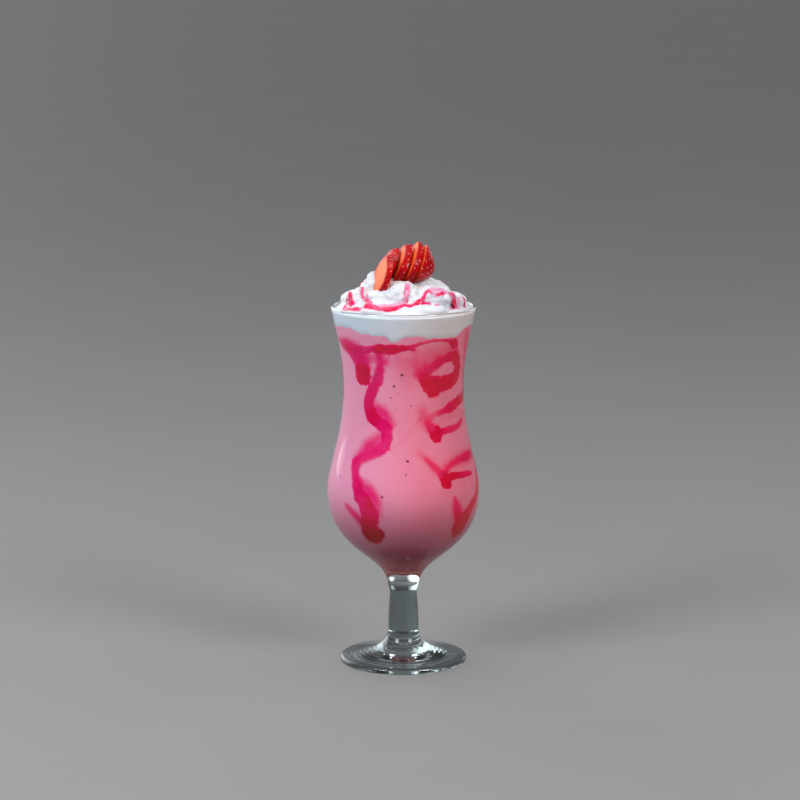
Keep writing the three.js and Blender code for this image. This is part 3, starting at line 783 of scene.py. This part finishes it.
drizzleRuns = [
    (1.3, [(-31, -13, 0.95), (-28, -16.5, 1), (-23, -22, 0.95), (-18, -27.5, 0.9), (-13, -30, 1),
           (-7, -30, 1), (-2, -28.5, 0.8)]),
    (0.8, [(-3, -28.5, 0.7), (4, -27.7, 0.75), (8, -27.4, 0.95), (13, -24.5, 0.95)]),
    (1.0, [(-29.5, -4, 0.9), (-28.5, -8, 1), (-27, -12.5, 0.95), (-25.7, -14.5, 0.9)]),
    (0.8, [(-29.3, -8, 0.8), (-30.3, -10, 0.85), (-31, -13, 0.9)]),
    (0.55, [(-20.5, -2, 0.7), (-21.3, -8, 0.8), (-21.3, -12.6, 0.85), (-20, -16.5, 0.85),
            (-18, -23, 0.8), (-16.5, -27, 0.8)]),
    (1.5, [(2.3, -20.5, 0.45), (2, -23, 0.55), (1.5, -25.5, 0.6), (0.8, -27, 0.5)]),
    (0.8, [(9.6, -25.5, 0.95), (10.8, -23, 0.9), (12.8, -22, 0.7), (14.3, -23.3, 0.8)]),
    (1.0, [(17, -23.4, 0.8), (18.7, -22.8, 0.95), (20.7, -21, 0.8)]),
    (0.6, [(16.7, -25, 0.9), (17.6, -24.8, 0.9)]),
    (1.4, [(24.4, -18.5, 0.95), (25.6, -17.5, 1), (26.8, -13.5, 1)]),
    (0.8, [(31, -6.5, 0.85), (31.6, -8.5, 0.9)]),
    (1.2, [(-25, 12, 0.8), (-18, 20, 0.9), (-7, 26, 0.8), (8, 26, 1), (21, 18, 0.9)]),
]
drizzleStains = [   # where the cream is only pink
    (1.0, [(-12, -28.5, 0.5), (-6, -28, 0.5), (-1.5, -27.4, 0.45)]),
    (1.6, [(13, -21, 0.5), (16, -20.5, 0.55), (19, -20, 0.6), (21.5, -20, 0.5)]),
    (1.2, [(24.5, -20, 0.45), (27.5, -15, 0.5), (28.5, -10, 0.4)]),
]
drizzleShape = {"gap": 0.5, "around": 10, "rise": 0.45, "sink": 0.7, "halo": 0.6}


def topAt(ground, x, y):
    hit = ground.ray_cast(Vector((x, y, 300)) * mm, Vector((0, 0, -1)))[0]
    return hit.z / mm if hit else creamSizes["plugTop"]


def drizzleStain(piece):
    ground = BVHTree.FromObject(piece, bpy.context.evaluated_depsgraph_get())
    places = cornersOf(piece)
    stain = np.zeros(len(places))
    waver = noiseAt(places, 0.35, 4)
    for half, stations in drizzleRuns + drizzleStains:
        path = smoothPath(stations, 0.6)
        onTop = np.array([(x, y, topAt(ground, x, y)) for x, y, strength in path])
        off = np.linalg.norm(places[:, None] - onTop[None], axis=2)
        nearest = off.argmin(axis=1)
        off = off.min(axis=1) * (1 + 0.3 * waver)
        here = path[nearest, 2] * np.exp(-(np.maximum(off - half * 0.8, 0) / drizzleShape["halo"])**2)
        stain = np.maximum(stain, here)
    stain *= smoothStep(187.5, 189.5, places[:, 2])
    storeValues(piece, "stain", stain)


def creamFinish():
    finish, tree, shader = newFinish("whippedCream", **{
        "Roughness": 0.42, "Specular IOR Level": 0.4,
        "Subsurface Weight": 0.35, "Subsurface Scale": 2.5 * mm})
    shader.inputs["Subsurface Radius"].default_value = (1.0, 0.8, 0.75)
    place = objectPlace(tree)
    stain = addNode(tree, "Attribute", {}, "Fac", attribute_name="stain")
    warm = noiseNode(tree, place, 90, 2)
    white = mixPaint(tree, warm, paint(208, 213, 221), paint(222, 225, 230))
    parts = addNode(tree, "SeparateXYZ", {"Vector": place}).node.outputs
    # painted shade: the cream seen through the wall below the lip is tinted bluish to the left and pinkish to
    # the right, the colours its shade takes there
    toRight = rangeNode(tree, parts["X"], -30 * mm, 26 * mm)
    shadedWallCream = mixPaint(tree, toRight, paint(214, 228, 243), paint(216, 204, 204))
    white = mixPaint(tree, rangeNode(tree, parts["Z"], 189 * mm, 187 * mm), white, shadedWallCream)
    stops = [(0.0, (1, 1, 1, 1)), (0.45, paint(255, 186, 214)), (0.9, paint(250, 112, 162))]
    colour = rampPaint(tree, stain, stops)
    tree.links.new(mixPaint(tree, 1.0, white, colour, "MULTIPLY"), shader.inputs["Base Color"])
    bumpNode(tree, shader, noiseNode(tree, place, 900, 2), 0.1, 0.15)
    return finish


cream = joinPieces("whippedCream", [makeHeap(), makePlug()])
drizzleStain(cream)
finishPiece(cream, creamFinish(), "whipped_cream", "cream")
print("cream heaped,", len(cream.data.polygons), "faces")


def makeDrizzle():
    ground = BVHTree.FromObject(cream, bpy.context.evaluated_depsgraph_get())
    turn = np.linspace(0, 2 * math.pi, drizzleShape["around"], endpoint=False)
    parts = []
    for half, stations in drizzleRuns:
        path = smoothPath(stations, drizzleShape["gap"])
        ahead = np.gradient(path[:, :2], axis=0)
        ahead /= np.linalg.norm(ahead, axis=1)[:, None]
        along = np.arange(len(path)) * drizzleShape["gap"]
        fromEnd = np.minimum(along, along[::-1]) / (half * 1.6)
        close = np.sqrt(np.clip(1 - (1 - np.clip(fromEnd, 0, 1))**2, 0, 1))
        uneven = 1 + 0.35 * noiseAt(np.column_stack([path[:, :2], along]), 0.22, half * 9)
        width = half * close * uneven * (0.55 + 0.45 * path[:, 2])
        rings = []
        for (x, y, strength), side, reach, shut in zip(path, ahead, width, close):
            ring = []
            for angle in turn:
                across = reach * math.cos(angle)
                px, py = x - across * side[1], y + across * side[0]
                up = drizzleShape["rise"] * strength if math.sin(angle) > 0 else drizzleShape["sink"]
                ring.append((px, py, topAt(ground, px, py) - 0.12 + up * shut * math.sin(angle)))
            rings.append(ring)
        parts.append((tubePiece("drizzleRun", np.array(rings)), path))
    for piece, path in parts:
        places = cornersOf(piece)
        nearest = np.hypot(places[:, None, 0] - path[None, :, 0], places[:, None, 1] - path[None, :, 1])
        storeValues(piece, "tint", path[nearest.argmin(axis=1), 2])
    return joinPieces("creamDrizzle", [piece for piece, path in parts])


def drizzleFinish():
    finish, tree, shader = newFinish("glossySauce", **{"Roughness": 0.16, "Specular IOR Level": 0.5})
    place = objectPlace(tree)
    tint = addNode(tree, "Attribute", {}, "Fac", attribute_name="tint")
    patchy = rangeNode(tree, noiseNode(tree, place, 300, 2), 0.3, 0.7, -0.18, 0.18)
    uneven = mathNode(tree, "ADD", tint, patchy)
    stops = [(0.3, paint(250, 150, 190)), (0.6, paint(248, 100, 154)),
             (0.82, paint(242, 40, 104)), (1.0, paint(222, 12, 72))]
    tree.links.new(rampPaint(tree, uneven, stops), shader.inputs["Base Color"])
    return finish


finishPiece(makeDrizzle(), drizzleFinish(), "sauce", "cream")
print("drizzle laid")


# strawberry: one berry spun, dimpled, cut into slices that each stand in their own place

berrySizes = {
    "radius": 14, "length": 25, "tipPower": 1.2, "fullness": 0.52, "middle": 11,
    "rows": 60, "steps": 96, "seeds": 190, "dimple": 0.38, "dimpleSize": 0.95,
    "seedSize": (0.34, 0.2, 0.5), "edge": 0.25,
    "slices": [   # cut from and to, place of the near left edge, turn, lean, depth of the red under the skin
        (-7, -4.4, (-9.3, -24, 206.3), 13.5, 18, 6), (-8.4, -5.4, (-7.9, -9, 209.5), 10, 24, 30),
        (-4.6, -1.4, (-1.6, -14.8, 210), 10, 24, 8), (-0.2, 3, (4.6, -16.4, 210.4), 10, 24, 8),
        (5, 14, (9.5, -16.4, 210.6), 10, 24, 8)],
}


def berryRadius(part):
    # part is 0 at the tip and 1 at the broad end
    swell = np.sin(np.pi * np.clip(part, 0, 1)**berrySizes["tipPower"])
    return berrySizes["radius"] * swell**berrySizes["fullness"]


def seedPlaces():
    # seeds evenly over the skin, each turned from the last by the golden angle
    parts = np.linspace(0.0, 1.0, 600)
    ring = berryRadius(parts)
    area = np.cumsum(ring * np.hypot(np.gradient(ring), berrySizes["length"] / 600))
    wanted = (np.arange(berrySizes["seeds"]) + 0.5) / berrySizes["seeds"] * area[-1]
    part = np.interp(wanted, area, parts)
    turn = np.arange(berrySizes["seeds"]) * math.pi * (3 - math.sqrt(5))
    radius = berryRadius(part)
    slope = (berryRadius(part + 0.01) - berryRadius(part - 0.01)) / (0.02 * berrySizes["length"])
    height = berrySizes["length"] * (1 - part)
    places = np.column_stack([radius * np.cos(turn), radius * np.sin(turn), height])
    return places, turn, np.arctan(slope)


def wholeBerry(name):
    part = (1 - np.cos(np.linspace(0, np.pi, berrySizes["rows"]))) / 2
    outline = [(float(berryRadius(p)), float(berrySizes["length"] * (1 - p))) for p in part]
    outline[0] = (0, outline[0][1])
    outline[-1] = (0, outline[-1][1])
    berry = spinUp(name, outline, berrySizes["steps"])
    places = cornersOf(berry)
    outward = np.array([vertex.normal for vertex in berry.data.vertices])
    seeds = seedPlaces()[0]
    off = np.linalg.norm(places[:, None] - seeds[None], axis=2).min(axis=1)
    sink = berrySizes["dimple"] * np.exp(-(off / berrySizes["dimpleSize"])**2)
    swell = 0.25 * noiseAt(places, 0.12, 2)
    moveCorners(berry, places + outward * (swell - sink - 0.1)[:, None])
    return berry


def berrySeeds(low, high):
    seeds = []
    for place, turn, tilt in zip(*seedPlaces()):
        if not low + 0.5 < place[0] < high - 0.5:
            continue
        deselectAll()
        bpy.ops.mesh.primitive_uv_sphere_add(segments=8, ring_count=6, radius=mm)
        seed = bpy.context.object
        away = Vector((math.cos(turn), math.sin(turn), 0)) * 0.28
        stand = Matrix.Translation((Vector(place) - away) * mm)
        stand @= Matrix.Rotation(turn, 4, "Z") @ Matrix.Rotation(-tilt, 4, "Y")
        wide, deep, tall = berrySizes["seedSize"]
        seed.data.transform(stand @ Matrix.Diagonal((deep, wide, tall, 1)))
        seeds.append(seed)
    return seeds


def skinFinish():
    finish, tree, shader = newFinish("strawberrySkin", **{
        "Roughness": 0.22, "Subsurface Weight": 0.1, "Subsurface Scale": 1.2 * mm, "Specular IOR Level": 0.2})
    place = objectPlace(tree)
    patch = noiseNode(tree, place, 130, 3)
    stops = [(0.3, paint(150, 0, 6)), (0.55, paint(176, 2, 12)), (0.75, paint(198, 12, 16))]
    tree.links.new(rampPaint(tree, patch, stops), shader.inputs["Base Color"])
    bumpNode(tree, shader, noiseNode(tree, place, 1400, 2), 0.25, 0.12)
    return finish


def fleshFinish(name, stand, redFor):
    # the berry's own frame gives how deep under the skin each place of a cut face lies
    finish, tree, shader = newFinish(name, **{
        "Roughness": 0.5, "Subsurface Weight": 0.2, "Subsurface Scale": 1.5 * mm, "Specular IOR Level": 0.2})
    values = {"Vector": objectPlace(tree)}
    values.update({"Location": stand.to_translation(), "Rotation": stand.to_euler("XYZ")})
    place = addNode(tree, "Mapping", values, vector_type="TEXTURE")
    parts = addNode(tree, "SeparateXYZ", {"Vector": place}).node.outputs
    along = mathNode(tree, "SUBTRACT", 1.0, mathNode(tree, "DIVIDE", parts["Z"], berrySizes["length"] * mm))
    wave = mathNode(tree, "MULTIPLY", mathNode(tree, "POWER", along, berrySizes["tipPower"]), math.pi)
    swell = mathNode(tree, "MAXIMUM", mathNode(tree, "SINE", wave), 0.001)
    skin = mathNode(tree, "POWER", swell, berrySizes["fullness"])
    flat = addNode(tree, "CombineXYZ", {"X": parts["X"], "Y": parts["Y"]})
    out = addNode(tree, "VectorMath", {0: flat}, "Value", operation="LENGTH")
    depth = mathNode(tree, "SUBTRACT", mathNode(tree, "MULTIPLY", skin, berrySizes["radius"] * mm), out)
    stretched = addNode(tree, "Mapping", {"Vector": place, "Scale": (90, 160, 620)})
    fibre = addNode(tree, "TexNoise", {"Vector": stretched, "Scale": 1.0, "Detail": 3.0}, "Fac")
    deep = rangeNode(tree, depth, 0, redFor * mm)
    ragged = mathNode(tree, "ADD", deep, rangeNode(tree, fibre, 0.3, 0.7, -0.04, 0.04))
    stops = [(0.0, paint(176, 8, 8)), (0.05, paint(206, 34, 12)),
             (0.14, paint(236, 84, 28)), (0.6, paint(242, 116, 56))]
    colour = rampPaint(tree, ragged, stops)
    veins = rangeNode(tree, fibre, 0.55, 0.72, 0, 0.4)
    tree.links.new(mixPaint(tree, veins, colour, paint(248, 168, 120)), shader.inputs["Base Color"])
    bumpNode(tree, shader, fibre, 0.2, 0.2)
    return finish


def seedAndGlintFinish():
    finish, tree, shader = newFinish("strawberrySeedAndGlint", **{"Roughness": 0.25})
    shade = noiseNode(tree, objectPlace(tree), 1500, 1)
    # painted highlight: the seeds are a pale pink, lighter than real seeds, to stand in for the glints of the
    # wet dimples round them
    pale = mixPaint(tree, shade, paint(206, 84, 84), paint(238, 150, 146))
    tree.links.new(pale, shader.inputs["Base Color"])
    return finish


def makeSlice(index, low, high, at, turn, lean, redFor):
    name = "strawberrySlice%d" % index
    berry = wholeBerry(name)
    editAll(berry)
    bpy.ops.mesh.bisect(plane_co=(low * mm, 0, 0), plane_no=(1, 0, 0), use_fill=True, clear_inner=True)
    if high < berrySizes["radius"]:
        bpy.ops.mesh.select_all(action="SELECT")
        bpy.ops.mesh.bisect(plane_co=(high * mm, 0, 0), plane_no=(1, 0, 0), use_fill=True, clear_outer=True)
    bpy.ops.object.mode_set(mode="OBJECT")
    cuts = (low, high) if high < berrySizes["radius"] else (low,)
    for face in berry.data.polygons:
        middle = face.center.x / mm
        face.select = abs(face.normal.x) > 0.999 and any(abs(middle - cut) < 0.05 for cut in cuts)
        face.material_index = int(face.select)
    stand = Matrix.Translation(Vector(at) * mm) @ Matrix.Rotation(math.radians(turn), 4, "Z")
    stand @= Matrix.Rotation(math.radians(lean), 4, "Y")
    back = math.sqrt(berrySizes["radius"]**2 - low**2)
    stand @= Matrix.Translation(Vector((-low, back, -berrySizes["middle"])) * mm)
    for finish in (skin, fleshFinish("strawberryFlesh%d" % index, stand, redFor), seedAndGlintFace):
        berry.data.materials.append(finish)
    pick(berry)
    bpy.context.tool_settings.mesh_select_mode = (False, False, True)
    bpy.ops.object.mode_set(mode="EDIT")
    bpy.ops.mesh.inset(thickness=berrySizes["edge"] * mm, depth=berrySizes["edge"] * 0.4 * mm)
    bpy.ops.object.mode_set(mode="OBJECT")
    bpy.context.tool_settings.mesh_select_mode = (True, False, False)
    seeds = berrySeeds(low, high)
    for seed in seeds:
        seed.data.materials.append(seedAndGlintFace)
    piece = joinPieces(name, [berry] + seeds)
    piece.data.transform(stand)
    bpy.ops.object.shade_smooth_by_angle(angle=math.radians(45))
    return piece


skin = skinFinish()
seedAndGlintFace = seedAndGlintFinish()
for index, cut in enumerate(berrySizes["slices"], 1):
    finishPiece(makeSlice(index, *cut), None, "strawberry", "strawberry_slice_%d" % index)
print("strawberry sliced")


# floor, lights and camera

stageSizes = {"floor": 60.0}


def makeFloor():
    deselectAll()
    bpy.ops.mesh.primitive_plane_add(size=stageSizes["floor"])
    floor = bpy.context.object
    floor.name = "studioFloor"
    finish, tree, shader = newFinish("paleFloor", **{"Roughness": 0.6, "Specular IOR Level": 0.3})
    grain = noiseNode(tree, objectPlace(tree), 6, 4)
    grey = mixPaint(tree, grain, paint(132, 132, 133), paint(140, 140, 140))
    tree.links.new(grey, shader.inputs["Base Color"])
    floor.data.materials.append(finish)


lampSizes = [   # name, place, width, height, power, colour
    ("keyLamp", (-1.15, -1.05, 1.2), 0.7, 0.7, 22.5, (0.98, 0.98, 1.0)),
    ("fillLamp", (1.2, -1.08, 1.2), 0.7, 0.7, 20.5, (1.0, 0.96, 0.94)),
    ("topLamp", (-0.1, 0.1, 1.3), 0.6, 0.6, 4, (0.97, 0.99, 1.0)),
]


glowSizes = [   # direction, half angle and light
    ((-0.6, 0.78, 0.26), 32, (3.0, 3.2, 3.25, 1)),
    ((0.5, 0.85, 0.2), 14, (1.2, 1.35, 1.45, 1)),
]


def makeLamps():
    for name, place, width, height, power, colour in lampSizes:
        deselectAll()
        bpy.ops.object.light_add(type="AREA", location=place)
        lamp = bpy.context.object
        lamp.name = name
        lamp.data.shape = "RECTANGLE"
        lamp.data.size = width
        lamp.data.size_y = height
        lamp.data.energy = power
        lamp.data.color = colour
        aim = Vector((0, 0, 0.12)) - Vector(place)
        lamp.rotation_euler = aim.to_track_quat("-Z", "Y").to_euler()
    world = bpy.data.worlds.new("studioWorld")
    world.use_nodes = True
    tree = world.node_tree
    away = addNode(tree, "TexCoord", {}, "Generated")
    up = addNode(tree, "SeparateXYZ", {"Vector": away}).node.outputs["Z"]
    stops = [(0.0, (0.12, 0.125, 0.13, 1)), (1.0, (0.36, 0.36, 0.37, 1))]
    soft = rampPaint(tree, rangeNode(tree, up, -0.1, 0.9), stops)
    for place, wide, light in glowSizes:
        # a round soft glow low behind the glass, which its foot mirrors
        values = {0: away, 1: Vector(place).normalized()}
        toward = addNode(tree, "VectorMath", values, "Value", operation="DOT_PRODUCT")
        soft = mixPaint(tree, rangeNode(tree, toward, math.cos(math.radians(wide)), 1), soft, light)
    tree.links.new(soft, tree.nodes["Background"].inputs["Color"])
    bpy.context.scene.world = world


cameraSizes = {"place": (0, -1.4616, 0.3894), "down": 9.7, "yaw": 0.0707, "lens": 127.7, "sensor": 36}


def makeCamera():
    deselectAll()
    bpy.ops.object.camera_add(location=cameraSizes["place"])
    camera = bpy.context.object
    camera.name = "photoCamera"
    camera.rotation_euler = (math.radians(90 - cameraSizes["down"]), 0, math.radians(cameraSizes["yaw"]))
    camera.data.lens = cameraSizes["lens"]
    camera.data.sensor_width = cameraSizes["sensor"]
    camera.data.clip_start = 0.05
    bpy.context.scene.camera = camera


makeFloor()
makeLamps()
makeCamera()
bpy.context.scene.view_settings.view_transform = "Standard"
print("stage lit")
